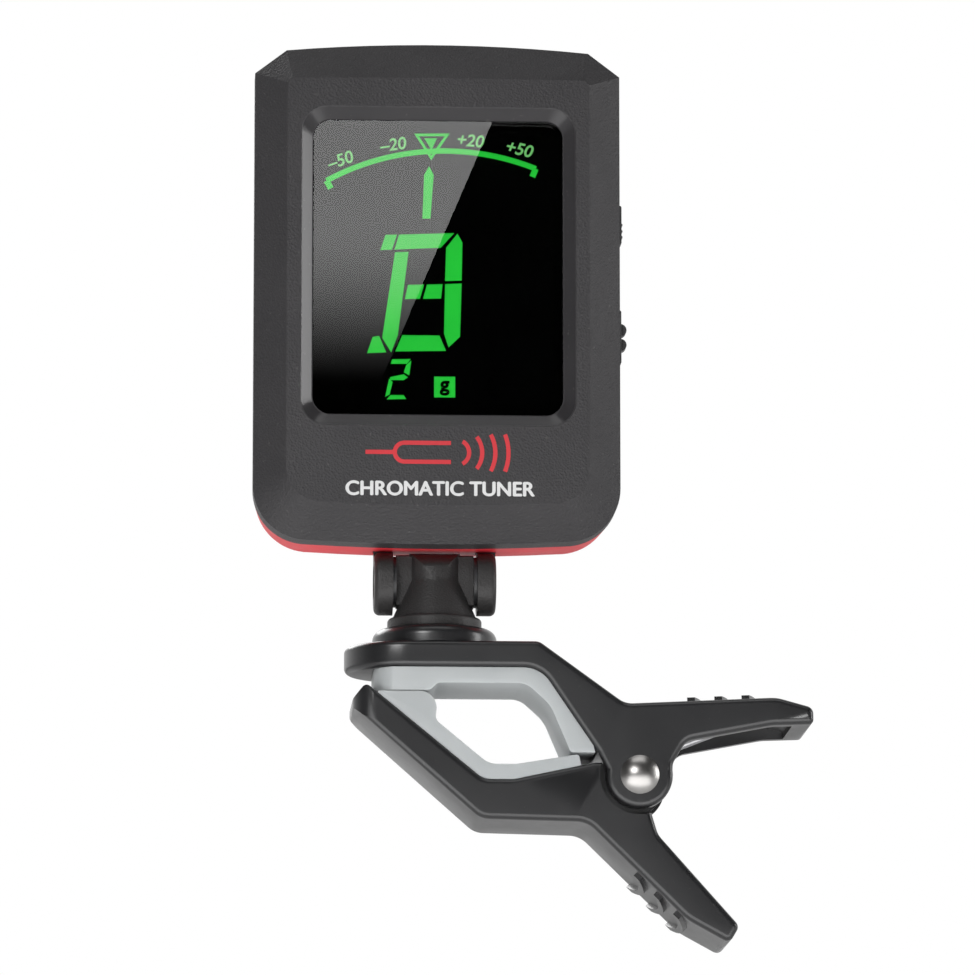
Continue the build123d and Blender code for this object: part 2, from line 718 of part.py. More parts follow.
keepHead("front_shell", frontShell())
keepHead("rear_shell", rearShell())
keepHead("battery_door", batteryDoor())
keepHead("shell_screws", shellScrews())
keepHead("window_lens", windowLens())
keepHead("lcd_panel", lcdPanel())
keepHead("lcd_frame", lcdFrame())
keepHead("light_guide", lightGuide())
keepHead("backlight_leds", backlightLeds())
keepHead("zebra_strip", zebraStrip())
keepHead("circuit_board", circuitBoard())
keepHead("main_chip", mainChip())
keepHead("crystal", crystalCan())
keepHead("piezo_sensor", piezoSensor())
keepHead("piezo_leads", piezoLeads())
keepHead("power_switch", tactSwitch(powerZ))
keepHead("mode_switch", tactSwitch(modeZ))
keepHead("power_button", sideButton(powerZ, powerLong, 0.25, [(0.05, 0.2), (-0.6, 0.2), (-1.2, 0.2)]))
keepHead("mode_button", sideButton(modeZ, modeLong, 0.2, [(0.75, 0.62), (-0.75, 0.62)]))
keepHead("battery", coinCell())
keepHead("battery_contact_neg", contactNegative())
keepHead("battery_contact_pos", contactPositive())
keepHead("hinge_yoke", hingeYoke())
keepHead("yoke_screws", yokeScrews())
keepHead("tilt_screw", tiltScrew())
keepHead("tilt_nut", tiltNut())
keepHead("friction_washers", frictionWashers())
keepHead("neck_knuckle", neckKnuckle())
keepHead("swivel_collar", swivelCollar())
keepHead("swivel_screw", swivelScrew())
keepHead("swivel_washer", swivelWasher())
keep("upper_arm", upperArm())
keep("upper_pad", upperPad())
keep("lower_arm", lowerArm())
keep("lower_pad", lowerPad())
keep("pivot_pin", pivotPin())
keep("torsion_spring", torsionSpring())

os.makedirs("parts", exist_ok=True)
for name, shape in parts.items():
    export_step(shape, f"parts/{name}.step")
    box = shape.bounding_box()
    print(f"{name:20s} solids {len(shape.solids())} volume {shape.volume:9.2f} "
          f"x {box.min.X:6.2f} {box.max.X:6.2f} y {box.min.Y:6.2f} {box.max.Y:6.2f} "
          f"z {box.min.Z:6.2f} {box.max.Z:6.2f}")
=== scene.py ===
import json
from math import acos, atan2, cos, degrees, hypot, pi, radians, sin

import bmesh
import bpy
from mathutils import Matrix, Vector


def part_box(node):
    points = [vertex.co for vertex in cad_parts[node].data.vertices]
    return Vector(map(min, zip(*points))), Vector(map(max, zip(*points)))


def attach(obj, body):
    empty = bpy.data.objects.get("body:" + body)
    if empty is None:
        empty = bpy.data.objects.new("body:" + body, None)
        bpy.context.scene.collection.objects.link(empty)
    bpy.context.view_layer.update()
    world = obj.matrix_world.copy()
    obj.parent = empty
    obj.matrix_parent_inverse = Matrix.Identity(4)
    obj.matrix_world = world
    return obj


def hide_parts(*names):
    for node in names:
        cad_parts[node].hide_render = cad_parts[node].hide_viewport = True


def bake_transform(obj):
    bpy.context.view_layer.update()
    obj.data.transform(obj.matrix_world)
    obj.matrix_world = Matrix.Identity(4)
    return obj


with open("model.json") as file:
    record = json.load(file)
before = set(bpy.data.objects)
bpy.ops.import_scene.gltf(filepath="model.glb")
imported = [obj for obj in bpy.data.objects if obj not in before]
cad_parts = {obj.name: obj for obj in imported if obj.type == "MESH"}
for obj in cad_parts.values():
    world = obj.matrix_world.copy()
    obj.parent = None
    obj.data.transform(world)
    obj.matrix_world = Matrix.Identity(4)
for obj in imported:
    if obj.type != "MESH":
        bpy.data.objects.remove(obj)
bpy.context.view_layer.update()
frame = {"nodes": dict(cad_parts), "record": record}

mm = 0.001


def middle(node):
    low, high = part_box(node)
    return (low + high) / 2


# ---- camera and light

cameraSettings = {"azimuth": -3.0, "elevation": -9.5, "distance": 0.7, "target": (-0.0013, 0, 0.025),
                  "across": 0.0975}


def makeCamera(s):
    a, e = radians(s["azimuth"]), radians(s["elevation"])
    back = Vector((sin(a) * cos(e), -cos(a) * cos(e), sin(e)))
    bpy.ops.object.camera_add(location=Vector(s["target"]) + back * s["distance"])
    camera = bpy.context.object
    camera.rotation_euler = (-back).to_track_quat("-Z", "Y").to_euler()
    camera.data.lens = camera.data.sensor_width * s["distance"] / s["across"]
    camera.data.clip_start = 0.01
    bpy.context.scene.camera = camera


def aimedLight(name, place, aim, size, power, tint=(1, 1, 1)):
    bpy.ops.object.light_add(type="AREA", location=place)
    light = bpy.context.object
    light.name = name
    light.data.shape = "RECTANGLE"
    light.data.size, light.data.size_y = size
    light.data.energy = power
    light.data.color = tint
    light.rotation_euler = (Vector(aim) - Vector(place)).to_track_quat("-Z", "Y").to_euler()
    light.visible_camera = False
    return light


def makeWorld(seen, front, behind):  # white paper behind and below, a dim room in front
    world = bpy.data.worlds.new("paleStudio")
    bpy.context.scene.world = world
    world.use_nodes = True
    nodes, links = world.node_tree.nodes, world.node_tree.links
    nodes.clear()
    path = nodes.new("ShaderNodeLightPath")
    place = nodes.new("ShaderNodeTexCoord")
    toward = nodes.new("ShaderNodeVectorMath")
    toward.operation = "DOT_PRODUCT"
    toward.inputs[1].default_value = (0, 0.9, -0.43)
    span = nodes.new("ShaderNodeMapRange")
    span.inputs["From Min"].default_value = -0.35
    span.inputs["From Max"].default_value = 0.55
    span.inputs["To Min"].default_value = front
    span.inputs["To Max"].default_value = behind
    around = nodes.new("ShaderNodeBackground")
    shown = nodes.new("ShaderNodeBackground")
    shown.inputs["Strength"].default_value = seen
    mix = nodes.new("ShaderNodeMixShader")
    out = nodes.new("ShaderNodeOutputWorld")
    for node in (around, shown):
        node.inputs["Color"].default_value = (1, 1, 1, 1)
    links.new(place.outputs["Generated"], toward.inputs[0])
    links.new(toward.outputs["Value"], span.inputs["Value"])
    links.new(span.outputs[0], around.inputs["Strength"])
    links.new(path.outputs["Is Camera Ray"], mix.inputs[0])
    links.new(around.outputs[0], mix.inputs[1])
    links.new(shown.outputs[0], mix.inputs[2])
    links.new(mix.outputs[0], out.inputs[0])


makeCamera(cameraSettings)
makeWorld(seen=1.0, front=0.003, behind=1.0)
aimedLight("keyLeft", (-0.4, -0.9, 0.4), (0, 0, 0.03), (0.34, 0.3), 4.0)
aimedLight("stripRight", (0.9, -0.07, 0.2), (0, 0, 0.03), (0.16, 0.5), 2.2)
aimedLight("rimBack", (-0.25, 0.4, 0.4), (0, 0, 0.03), (0.4, 0.4), 2.0)
aimedLight("paperBounce", (0, -0.12, -0.12), (0, 0, 0.03), (0.4, 0.3), 0.8)
aimedLight("skyTop", (0, -0.12, 0.5), (0, 0, 0.04), (0.4, 0.25), 0.5)
bpy.context.scene.view_settings.view_transform = "Standard"
print("camera and light made")

# ---- shader groups


def newGroup(name, inputs, outputs):
    group = bpy.data.node_groups.new(name, "ShaderNodeTree")
    for label, kind, value in inputs:
        socket = group.interface.new_socket(name=label, in_out="INPUT", socket_type=kind)
        socket.default_value = value
    for label, kind in outputs:
        group.interface.new_socket(name=label, in_out="OUTPUT", socket_type=kind)
    return group, group.nodes.new("NodeGroupInput"), group.nodes.new("NodeGroupOutput")


def makeMouldGrain():  # fine etched grain of a moulded shell
    group, given, out = newGroup(
        "mouldGrain", [("Scale", "NodeSocketFloat", 5000.0)], [("Height", "NodeSocketFloat")])
    nodes, links = group.nodes, group.links
    place = nodes.new("ShaderNodeTexCoord")
    fine = nodes.new("ShaderNodeTexNoise")
    fine.inputs["Detail"].default_value = 3
    cells = nodes.new("ShaderNodeTexVoronoi")
    both = nodes.new("ShaderNodeMix")
    both.inputs[0].default_value = 0.45
    for node in (fine, cells):
        links.new(place.outputs["Object"], node.inputs["Vector"])
    links.new(given.outputs["Scale"], fine.inputs["Scale"])
    links.new(given.outputs["Scale"], cells.inputs["Scale"])
    links.new(fine.outputs["Fac"], both.inputs[2])
    links.new(cells.outputs["Distance"], both.inputs[3])
    links.new(both.outputs[0], out.inputs["Height"])
    return group


def makeTwoTone():  # a colour that drifts between two tones, with fine specks of dust
    group, given, out = newGroup(
        "twoTone",
        [("Dark", "NodeSocketColor", (0, 0, 0, 1)), ("Light", "NodeSocketColor", (1, 1, 1, 1)),
         ("Scale", "NodeSocketFloat", 150.0), ("Dust", "NodeSocketFloat", 0.03)],
        [("Color", "NodeSocketColor")])
    nodes, links = group.nodes, group.links
    place = nodes.new("ShaderNodeTexCoord")
    noise = nodes.new("ShaderNodeTexNoise")
    noise.inputs["Detail"].default_value = 6
    tone = nodes.new("ShaderNodeMix")
    tone.data_type = "RGBA"
    specks = nodes.new("ShaderNodeTexNoise")
    specks.inputs["Scale"].default_value = 2600
    pick = nodes.new("ShaderNodeMapRange")
    pick.inputs["From Min"].default_value = 0.68
    pick.inputs["From Max"].default_value = 0.78
    amount = nodes.new("ShaderNodeMath")
    amount.operation = "MULTIPLY"
    dusty = nodes.new("ShaderNodeMix")
    dusty.data_type = "RGBA"
    dusty.inputs[7].default_value = (0.6, 0.58, 0.55, 1)
    links.new(place.outputs["Object"], noise.inputs["Vector"])
    links.new(place.outputs["Object"], specks.inputs["Vector"])
    links.new(given.outputs["Scale"], noise.inputs["Scale"])
    links.new(noise.outputs["Fac"], tone.inputs[0])
    links.new(given.outputs["Dark"], tone.inputs[6])
    links.new(given.outputs["Light"], tone.inputs[7])
    links.new(specks.outputs["Fac"], pick.inputs["Value"])
    links.new(pick.outputs[0], amount.inputs[0])
    links.new(given.outputs["Dust"], amount.inputs[1])
    links.new(amount.outputs[0], dusty.inputs[0])
    links.new(tone.outputs[2], dusty.inputs[6])
    links.new(dusty.outputs[2], out.inputs["Color"])
    return group


def makeHandling():  # roughness between two limits, with finger smears
    group, given, out = newGroup(
        "handling",
        [("Smooth", "NodeSocketFloat", 0.3), ("Rough", "NodeSocketFloat", 0.5),
         ("Scale", "NodeSocketFloat", 90.0)],
        [("Roughness", "NodeSocketFloat")])
    nodes, links = group.nodes, group.links
    place = nodes.new("ShaderNodeTexCoord")
    stretch = nodes.new("ShaderNodeMapping")
    stretch.inputs["Rotation"].default_value = (0.3, 0.5, 0.2)
    stretch.inputs["Scale"].default_value = (1.0, 0.5, 0.35)
    smear = nodes.new("ShaderNodeTexNoise")
    smear.inputs["Detail"].default_value = 7
    smear.inputs["Roughness"].default_value = 0.65
    span = nodes.new("ShaderNodeMapRange")
    span.inputs["From Min"].default_value = 0.3
    span.inputs["From Max"].default_value = 0.7
    links.new(place.outputs["Object"], stretch.inputs["Vector"])
    links.new(stretch.outputs[0], smear.inputs["Vector"])
    links.new(given.outputs["Scale"], smear.inputs["Scale"])
    links.new(smear.outputs["Fac"], span.inputs["Value"])
    links.new(given.outputs["Smooth"], span.inputs["To Min"])
    links.new(given.outputs["Rough"], span.inputs["To Max"])
    links.new(span.outputs[0], out.inputs["Roughness"])
    return group


def makeFineLines():  # drawn or brushed lines along one axis of metal
    group, given, out = newGroup(
        "fineLines",
        [("Across", "NodeSocketVector", (1, 1, 1)), ("Scale", "NodeSocketFloat", 900.0)],
        [("Height", "NodeSocketFloat")])
    nodes, links = group.nodes, group.links
    place = nodes.new("ShaderNodeTexCoord")
    stretch = nodes.new("ShaderNodeMapping")
    noise = nodes.new("ShaderNodeTexNoise")
    noise.inputs["Detail"].default_value = 2
    links.new(place.outputs["Object"], stretch.inputs["Vector"])
    links.new(given.outputs["Across"], stretch.inputs["Scale"])
    links.new(stretch.outputs[0], noise.inputs["Vector"])
    links.new(given.outputs["Scale"], noise.inputs["Scale"])
    links.new(noise.outputs["Fac"], out.inputs["Height"])
    return group


def makeBoxMask():  # one inside a box, nothing outside it
    group, given, out = newGroup(
        "boxMask",
        [("Middle", "NodeSocketVector", (0, 0, 0)), ("Half", "NodeSocketVector", (1, 1, 1)),
         ("Fade", "NodeSocketFloat", 0.0003)],
        [("Mask", "NodeSocketFloat")])
    nodes, links = group.nodes, group.links
    place = nodes.new("ShaderNodeTexCoord")
    steps = [nodes.new("ShaderNodeVectorMath") for _ in range(3)]
    for step, kind in zip(steps, ("SUBTRACT", "ABSOLUTE", "SUBTRACT")):
        step.operation = kind
    split = nodes.new("ShaderNodeSeparateXYZ")
    larger, largest = nodes.new("ShaderNodeMath"), nodes.new("ShaderNodeMath")
    larger.operation = largest.operation = "MAXIMUM"
    edge = nodes.new("ShaderNodeMapRange")
    edge.inputs["To Min"].default_value = 1.0
    edge.inputs["To Max"].default_value = 0.0
    links.new(place.outputs["Object"], steps[0].inputs[0])
    links.new(given.outputs["Middle"], steps[0].inputs[1])
    links.new(steps[0].outputs[0], steps[1].inputs[0])
    links.new(steps[1].outputs[0], steps[2].inputs[0])
    links.new(given.outputs["Half"], steps[2].inputs[1])
    links.new(steps[2].outputs[0], split.inputs[0])
    links.new(split.outputs["X"], larger.inputs[0])
    links.new(split.outputs["Z"], larger.inputs[1])
    links.new(larger.outputs[0], largest.inputs[0])
    links.new(split.outputs["Y"], largest.inputs[1])
    links.new(largest.outputs[0], edge.inputs["Value"])
    links.new(given.outputs["Fade"], edge.inputs["From Max"])
    links.new(edge.outputs[0], out.inputs["Mask"])
    return group


mouldGrain, twoTone, handling = makeMouldGrain(), makeTwoTone(), makeHandling()
fineLines, boxMask = makeFineLines(), makeBoxMask()


def useGroup(material, group, values):
    node = material.node_tree.nodes.new("ShaderNodeGroup")
    node.node_tree = group
    for label, value in values.items():
        node.inputs[label].default_value = value
    return node


def startMaterial(name):
    material = bpy.data.materials.new(name)
    material.use_nodes = True
    return material, material.node_tree.nodes["Principled BSDF"], material.node_tree.links


def addBump(material, shader, source, strength, distance):
    bump = material.node_tree.nodes.new("ShaderNodeBump")
    bump.inputs["Strength"].default_value = strength
    bump.inputs["Distance"].default_value = distance
    material.node_tree.links.new(source, bump.inputs["Height"])
    material.node_tree.links.new(bump.outputs[0], shader.inputs["Normal"])


def plastic(name, dark, light, smooth, rough, grain=5000.0, depth=0.00002, strength=0.4, coat=0.0, dust=0.03,
            soft=0.0, shine=0.5):
    material, shader, links = startMaterial(name)
    shader.inputs["Specular IOR Level"].default_value = shine
    tone = useGroup(material, twoTone, {"Dark": (*dark, 1), "Light": (*light, 1), "Dust": dust})
    gloss = useGroup(material, handling, {"Smooth": smooth, "Rough": rough})
    skin = useGroup(material, mouldGrain, {"Scale": grain})
    links.new(tone.outputs["Color"], shader.inputs["Base Color"])
    links.new(gloss.outputs["Roughness"], shader.inputs["Roughness"])
    shader.inputs["Coat Weight"].default_value = coat
    shader.inputs["Coat Roughness"].default_value = 0.2
    if soft:
        shader.inputs["Subsurface Weight"].default_value = soft
        shader.inputs["Subsurface Radius"].default_value = (0.6, 0.6, 0.6)
        shader.inputs["Subsurface Scale"].default_value = 0.002
    addBump(material, shader, skin.outputs["Height"], strength, depth)
    return material


def polishedRecess(material, middlePoint, half, gloss):  # a mask that takes the grain away and adds gloss
    nodes, links = material.node_tree.nodes, material.node_tree.links
    shader = nodes["Principled BSDF"]
    mask = useGroup(material, boxMask, {"Middle": middlePoint, "Half": half, "Fade": 0.0001})
    rough = shader.inputs["Roughness"].links[0].from_socket
    bump = shader.inputs["Normal"].links[0].from_node
    height = bump.inputs["Height"].links[0].from_socket
    smoother = nodes.new("ShaderNodeMix")
    smoother.inputs[3].default_value = gloss
    flatter = nodes.new("ShaderNodeMix")
    flatter.inputs[3].default_value = 0.5
    changes = ((smoother, rough, shader.inputs["Roughness"]), (flatter, height, bump.inputs["Height"]))
    for node, source, target in changes:
        links.new(mask.outputs["Mask"], node.inputs[0])
        links.new(source, node.inputs[2])
        links.new(node.outputs[0], target)
    return material


def metal(name, dark, light, smooth, rough, across=(1, 1, 0.08), scale=2400.0, strength=0.15):
    material, shader, links = startMaterial(name)
    tones = {"Dark": (*dark, 1), "Light": (*light, 1), "Scale": 400.0, "Dust": 0.02}
    tone = useGroup(material, twoTone, tones)
    gloss = useGroup(material, handling, {"Smooth": smooth, "Rough": rough, "Scale": 300.0})
    lines = useGroup(material, fineLines, {"Across": across, "Scale": scale})
    shader.inputs["Metallic"].default_value = 1.0
    links.new(tone.outputs["Color"], shader.inputs["Base Color"])
    links.new(gloss.outputs["Roughness"], shader.inputs["Roughness"])
    addBump(material, shader, lines.outputs["Height"], strength, 0.00001)
    return material


def clearWindow(name):  # hard clear window with faint smears
    material, shader, links = startMaterial(name)
    gloss = useGroup(material, handling, {"Smooth": 0.0, "Rough": 0.004, "Scale": 25.0})
    links.new(gloss.outputs["Roughness"], shader.inputs["Roughness"])
    shader.inputs["Base Color"].default_value = (0.93, 0.95, 0.94, 1)
    shader.inputs["Transmission Weight"].default_value = 1.0
    shader.inputs["IOR"].default_value = 1.49
    return material


def litMark(name, color, strength):  # a lit character of the display, a little uneven
    material, shader, links = startMaterial(name)
    darker = [c * 0.8 for c in color]
    tones = {"Dark": (*darker, 1), "Light": (*color, 1), "Scale": 300.0, "Dust": 0.0}
    tone = useGroup(material, twoTone, tones)
    links.new(tone.outputs["Color"], shader.inputs["Base Color"])
    links.new(tone.outputs["Color"], shader.inputs["Emission Color"])
    shader.inputs["Emission Strength"].default_value = strength
    shader.inputs["Roughness"].default_value = 0.6
    return material


def boardMask(name):  # green solder mask with straight tracks and dots of bare copper
    material, shader, links = startMaterial(name)
    nodes = material.node_tree.nodes
    place = nodes.new("ShaderNodeTexCoord")
    turn = nodes.new("ShaderNodeMapping")
    turn.inputs["Rotation"].default_value = (pi / 2, 0, 0)
    tracks = nodes.new("ShaderNodeTexBrick")
    tracks.offset = 0.37
    tracks.inputs["Scale"].default_value = 330
    tracks.inputs["Mortar Size"].default_value = 0.05
    tracks.inputs["Brick Width"].default_value = 1.7
    tracks.inputs["Row Height"].default_value = 0.5
    tracks.inputs["Color1"].default_value = (0.012, 0.13, 0.045, 1)
    tracks.inputs["Color2"].default_value = (0.016, 0.16, 0.055, 1)
    tracks.inputs["Mortar"].default_value = (0.03, 0.26, 0.1, 1)
    gloss = useGroup(material, handling, {"Smooth": 0.2, "Rough": 0.4, "Scale": 200.0})
    links.new(place.outputs["Object"], turn.inputs["Vector"])
    links.new(turn.outputs[0], tracks.inputs["Vector"])
    links.new(tracks.outputs["Color"], shader.inputs["Base Color"])
    links.new(gloss.outputs["Roughness"], shader.inputs["Roughness"])
    addBump(material, shader, tracks.outputs["Fac"], 0.3, 0.00002)
    return material


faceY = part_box("front_shell")[0].y
recessSettings = {"middle": (-0.0066, faceY + 0.00512, 0.04595), "half": (0.0142, 0.005, 0.01665),
                  "gloss": 0.2}

materials = {
    "charcoal_shell": polishedRecess(
        plastic("charcoalShell", (0.027, 0.026, 0.028), (0.039, 0.037, 0.039), 0.46, 0.58, 4200, 0.0001, 0.9,
                dust=0.06, shine=0.36),
        recessSettings["middle"], recessSettings["half"], recessSettings["gloss"]),
    "red_shell": plastic("redShell", (0.7, 0.028, 0.042), (0.82, 0.038, 0.054), 0.4, 0.55, 4500, 0.00003, 0.5,
                         shine=0.35),
    "clear_window": clearWindow("clearWindow"),
    "display_glass": plastic("displayGlass", (0.0008, 0.001, 0.0008), (0.0014, 0.0016, 0.0014), 0.5, 0.6,
                             3000, 0.000002, 0.05, dust=0.0, shine=0.0),
    "white_frame": plastic("whiteFrame", (0.72, 0.72, 0.7), (0.82, 0.82, 0.8), 0.4, 0.55, 4000),
    "clear_guide": plastic("clearGuide", (0.6, 0.75, 0.66), (0.72, 0.84, 0.76), 0.1, 0.2, 1400, 0.00003, 0.5,
                           coat=0.4, soft=0.2),
    "lamp_resin": plastic("lampResin", (0.8, 0.8, 0.5), (0.9, 0.9, 0.6), 0.2, 0.3, 3000, coat=0.3, soft=0.2),
    "zebra_rubber": plastic("zebraRubber", (0.12, 0.12, 0.14), (0.3, 0.3, 0.33), 0.6, 0.8, 4000),
    "board_green": boardMask("boardMask"),
    "chip_black": plastic("chipBlack", (0.018, 0.018, 0.02), (0.028, 0.028, 0.03), 0.5, 0.65, 7000, 0.00002),
    "crystal_can": metal("crystalCan", (0.55, 0.55, 0.55), (0.7, 0.7, 0.7), 0.25, 0.4, (0.1, 1, 1)),
    "piezo_brass": metal("piezoBrass", (0.65, 0.46, 0.18), (0.8, 0.6, 0.26), 0.3, 0.45, (0.1, 1, 1)),
    "lead_sleeve": plastic("leadSleeve", (0.5, 0.02, 0.02), (0.62, 0.04, 0.03), 0.35, 0.5, 5000),
    "switch_body": plastic("switchBody", (0.03, 0.03, 0.03), (0.045, 0.045, 0.045), 0.4, 0.6, 6000),
    "button_black": plastic("buttonBlack", (0.02, 0.02, 0.021), (0.03, 0.029, 0.031), 0.35, 0.5, 6500),
    "cell_steel": metal("cellSteel", (0.6, 0.6, 0.59), (0.74, 0.74, 0.72), 0.22, 0.38, (0.06, 1, 1)),
    "contact_brass": metal("contactBrass", (0.7, 0.55, 0.3), (0.82, 0.68, 0.42), 0.25, 0.4),
    "hinge_black": plastic("hingeBlack", (0.026, 0.025, 0.025), (0.04, 0.038, 0.038), 0.38, 0.5, 5000,
                           0.00006, 0.7, shine=0.3),
    "clip_black": plastic("clipBlack", (0.011, 0.011, 0.012), (0.018, 0.018, 0.019), 0.26, 0.38, 5000,
                          0.00001, 0.25, coat=0.25),
    "zinc_screw": metal("zincScrew", (0.5, 0.5, 0.49), (0.66, 0.66, 0.65), 0.25, 0.42, (1, 0.1, 1)),
    "washer_nylon": plastic("washerNylon", (0.014, 0.014, 0.015), (0.026, 0.026, 0.028), 0.35, 0.5, 5000),
    "steel_washer": metal("steelWasher", (0.55, 0.55, 0.55), (0.68, 0.68, 0.68), 0.3, 0.45),
    "pad_white": plastic("padWhite", (0.38, 0.4, 0.405), (0.45, 0.47, 0.475), 0.42, 0.58, 2500, 0.00003, 0.35,
                         soft=0.6),
    "rivet_nickel": metal("rivetNickel", (0.34, 0.33, 0.32), (0.44, 0.43, 0.42), 0.26, 0.36, (1, 1, 1), 1500,
                          0.06),
    "spring_steel": metal("springSteel", (0.3, 0.3, 0.31), (0.45, 0.45, 0.46), 0.25, 0.4, (1, 1, 1)),
}
print("materials made", len(materials))

# ---- CAD nodes: finish and smooth shading

smoothAngles = {"front_shell": 24, "rear_shell": 24, "battery_door": 24, "lower_arm": 30, "upper_arm": 30}


def finishNode(name, item):
    slotName = next(s["material_slot"] for s in frame["record"]["subparts"] if s["node"] == name)
    item.data.materials.clear()
    item.data.materials.append(materials[slotName])
    for face in item.data.polygons:
        face.use_smooth = True
    weld = item.modifiers.new("weld", "WELD")
    weld.merge_threshold = 0.000002
    split = item.modifiers.new("split", "EDGE_SPLIT")
    split.split_angle = radians(smoothAngles.get(name, 34))


softEdges = {"upper_pad": 0.35 * mm, "lower_pad": 0.35 * mm}


def softenNode(item, width):  # moulded rubber has no sharp edge
    item.modifiers.remove(item.modifiers["split"])
    rounded = item.modifiers.new("rounded", "BEVEL")
    rounded.width = width
    rounded.segments = 3
    rounded.limit_method = "ANGLE"
    rounded.angle_limit = radians(40)


for name, item in frame["nodes"].items():
    finishNode(name, item)
for name, width in softEdges.items():
    softenNode(frame["nodes"][name], width)
bpy.ops.object.select_all(action="DESELECT")
print("nodes finished", len(frame["nodes"]))

# ---- modelling helpers


def openEdit(item):
    bpy.ops.object.select_all(action="DESELECT")
    item.select_set(True)
    bpy.context.view_layer.objects.active = item
    bpy.ops.object.mode_set(mode="EDIT")
    return bmesh.from_edit_mesh(item.data)


def clearPick(mesh):
    for part in (*mesh.faces, *mesh.edges, *mesh.verts):
        part.select_set(False)


def pickFaces(item, mesh, test):
    clearPick(mesh)
    for face in mesh.faces:
        if test(face):
            face.select_set(True)
    mesh.select_flush_mode()
    bmesh.update_edit_mesh(item.data)


def pickEdges(item, mesh, test):
    clearPick(mesh)
    for edge in mesh.edges:
        if test(edge):
            edge.select_set(True)
    bmesh.update_edit_mesh(item.data)


def settle(item):  # place, turn and size go into the mesh
    bpy.ops.object.select_all(action="DESELECT")
    item.select_set(True)
    bpy.context.view_layer.objects.active = item
    bpy.ops.object.transform_apply(location=True, rotation=True, scale=True)


def joinPieces(items, name):
    bpy.ops.object.select_all(action="DESELECT")
    for item in items:
        item.select_set(True)
    bpy.context.view_layer.objects.active = items[0]
    bpy.ops.object.join()
    items[0].name = name
    return items[0]


def applyModifier(item, kind, **values):
    modifier = item.modifiers.new(kind.lower(), kind)
    for label, value in values.items():
        setattr(modifier, label, value)
    bpy.ops.object.select_all(action="DESELECT")
    item.select_set(True)
    bpy.context.view_layer.objects.active = item
    bpy.ops.object.modifier_apply(modifier=modifier.name)


def finishPiece(item, material, body):
    settle(item)
    item.data.materials.clear()
    item.data.materials.append(material)
    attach(item, body)


def facesOutward(item):
    openEdit(item)
    bpy.ops.mesh.select_all(action="SELECT")
    bpy.ops.mesh.normals_make_consistent(inside=False)
    bpy.ops.object.mode_set(mode="OBJECT")


# ---- lit characters of the display, flat marks just behind the window

windowMiddle = middle("window_lens")
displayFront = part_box("lcd_panel")[0].y
markSettings = {"lift": 0.05 * mm, "thick": 0.02 * mm}
markY = displayFront - markSettings["lift"]


def onWindow(x, z):  # millimetres from the window's middle, on the plane of the lit marks
    return Vector((windowMiddle.x + x * mm, markY, windowMiddle.z + z * mm))


def flatBar(place, long, wide, angle=0.0):  # a plain bar in the plane of a face; long and wide in millimetres
    bpy.ops.mesh.primitive_plane_add(size=1, location=(0, 0, 0), rotation=(pi / 2, 0, 0))
    bar = bpy.context.object
    bar.scale = (long * mm, wide * mm, 1)
    bpy.ops.object.transform_apply(location=True, rotation=True, scale=True)
    bar.rotation_euler = (0, -radians(angle), 0)
    bar.location = place
    settle(bar)
    return bar


def flatShape(corners):  # a mark with straight sides; corners in order round it, from the window's middle
    bpy.ops.mesh.primitive_circle_add(vertices=len(corners), radius=mm, fill_type="NGON", location=(0, 0, 0),
                                      rotation=(pi / 2, 0, 0))
    shape = bpy.context.object
    settle(shape)
    for index, corner in enumerate(corners):
        mesh = openEdit(shape)
        mesh.verts.ensure_lookup_table()
        clearPick(mesh)
        mesh.verts[index].select_set(True)
        bpy.ops.transform.translate(value=onWindow(*corner) - mesh.verts[index].co)
        bpy.ops.object.mode_set(mode="OBJECT")
    return shape


def arcBand(centre, radius, wide, start, finish, steps, sliver):
    # a curved band made by spinning one long edge of a very short bar about the arc's centre
    away = Vector((cos(radians(start)), 0, sin(radians(start))))
    band = flatBar(centre + away * radius * mm, wide, sliver, start)
    mesh = openEdit(band)
    longest = sorted(mesh.edges, key=lambda e: -e.calc_length())[0]
    pickEdges(band, mesh, lambda e: e == longest)
    bpy.ops.mesh.spin(steps=steps, angle=radians(finish - start), center=centre, axis=(0, 1, 0))
    bpy.ops.object.mode_set(mode="OBJECT")
    return band


def flatText(words, place, high, angle=0.0, lean=0.0, bold=0.0):
    bpy.ops.object.text_add(location=(0, 0, 0), rotation=(pi / 2, 0, 0))
    text = bpy.context.object
    text.data.body = words
    text.data.size = high * mm / 0.7  # a capital is seven tenths of the size
    text.data.shear = lean
    text.data.offset = bold * mm
    text.data.align_x, text.data.align_y = "CENTER", "CENTER"
    bpy.ops.object.convert(target="MESH")
    text = bpy.context.object
    text.rotation_euler = (pi / 2, -radians(angle), 0)
    text.location = place
    settle(text)
    return text


def printFlat(items, name, thick, material):  # flat marks become one thin piece on the head
    piece = joinPieces(items, name)
    facesOutward(piece)
    applyModifier(piece, "SOLIDIFY", thickness=thick, offset=0)
    finishPiece(piece, material, "head")


scaleArc = {"left": (-11.1, 8.9), "top": (-0.85, 12.0), "right": (9.8, 10.35), "wide": 0.55, "steps": 48,
            "sliver": 0.02, "tick": (0.9, 0.6), "tickIn": 0.45}
pointer = {"outline": [(-2.35, 13.8), (-0.65, 11.1), (1.2, 13.85)], "line": 0.27,
           "inner": [(-1.35, 13.35), (-0.62, 12.15), (-0.08, 13.35)]}
badge = {"middle": (0.72, -11.9), "side": 2.1, "letter": (0.72, -11.65), "high": 1.4, "bold": 0.07,
         "lift": 0.11 * mm}


